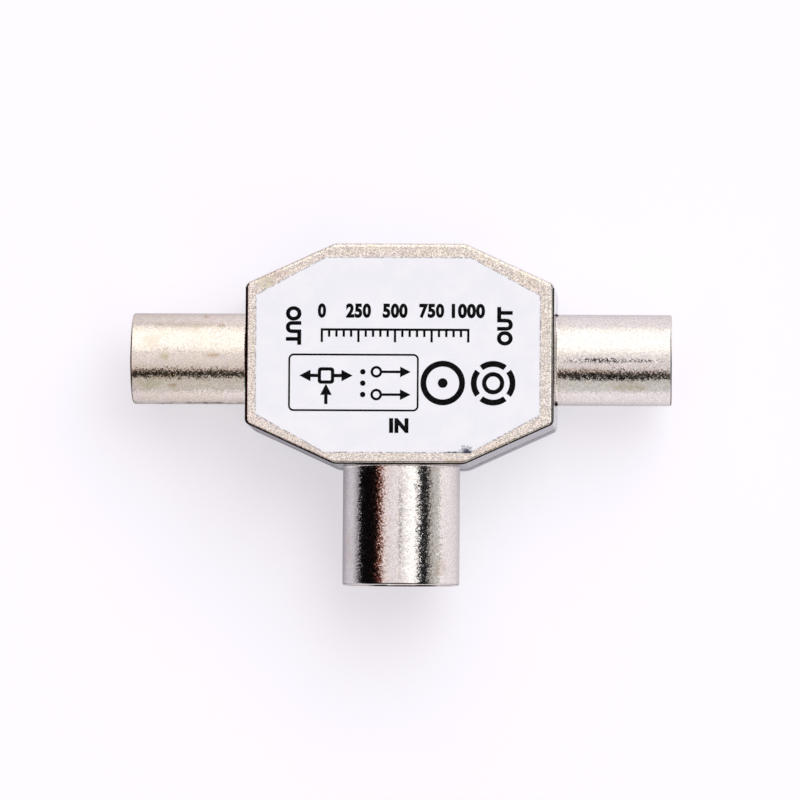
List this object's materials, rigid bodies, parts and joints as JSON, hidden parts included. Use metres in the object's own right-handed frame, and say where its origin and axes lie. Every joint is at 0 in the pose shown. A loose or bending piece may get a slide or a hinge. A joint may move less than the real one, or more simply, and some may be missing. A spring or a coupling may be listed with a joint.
{
  "type": "coaxial splitter",
  "caption": "Metal coaxial tee splitter: an eight-sided die-cast body with plug sleeves to each side and a socket below, for sharing one aerial lead between sets.",
  "frame": {"origin": "on the flat back face, under the point where the axes of the three ports cross", "axes": "+Z out of the labelled front face, +X along the line of the two outputs towards the right-hand one as the label is read, and the input points along -Y"},
  "size_m": [0.0562, 0.0354, 0.0151],
  "materials": {
    "nickel_casting": "satin",
    "label_film": "satin",
    "natural_plastic": "satin",
    "plated_brass": "satin",
    "spring_brass": "satin",
    "board_laminate": "matte",
    "ferrite": "matte",
    "enamelled_copper": "gloss",
    "resistor_lacquer": "satin",
    "capacitor_dip": "satin",
    "tinned_wire": "satin",
    "solder": "gloss"
  },
  "bodies": {
    "root": {"housing": "nickel_casting", "back_cover": "nickel_casting", "label": "label_film", "out_left_insulator": "natural_plastic", "out_left_pin": "plated_brass", "out_right_insulator": "natural_plastic", "out_right_pin": "plated_brass", "in_insulator": "natural_plastic", "in_socket_contact": "plated_brass", "in_earth_sleeve": "spring_brass", "circuit_board": "board_laminate", "matching_core": "ferrite", "matching_winding": "enamelled_copper", "splitting_core": "ferrite", "splitting_winding_lower": "enamelled_copper", "splitting_winding_upper": "enamelled_copper", "balance_resistor": "resistor_lacquer", "resistor_lead_left": "tinned_wire", "resistor_lead_right": "tinned_wire", "input_capacitor": "capacitor_dip", "capacitor_lead_left": "tinned_wire", "capacitor_lead_right": "tinned_wire", "out_left_solder": "solder", "out_right_solder": "solder", "in_solder": "solder", "earth_solder_left": "solder", "earth_solder_right": "solder", "resistor_left_solder": "solder", "resistor_right_solder": "solder", "capacitor_left_solder": "solder", "capacitor_right_solder": "solder", "matching_left_solder": "solder", "matching_right_solder": "solder", "splitting_lower_left_solder": "solder", "splitting_lower_right_solder": "solder", "splitting_upper_left_solder": "solder", "splitting_upper_right_solder": "solder"}
  },
  "joints": []
}
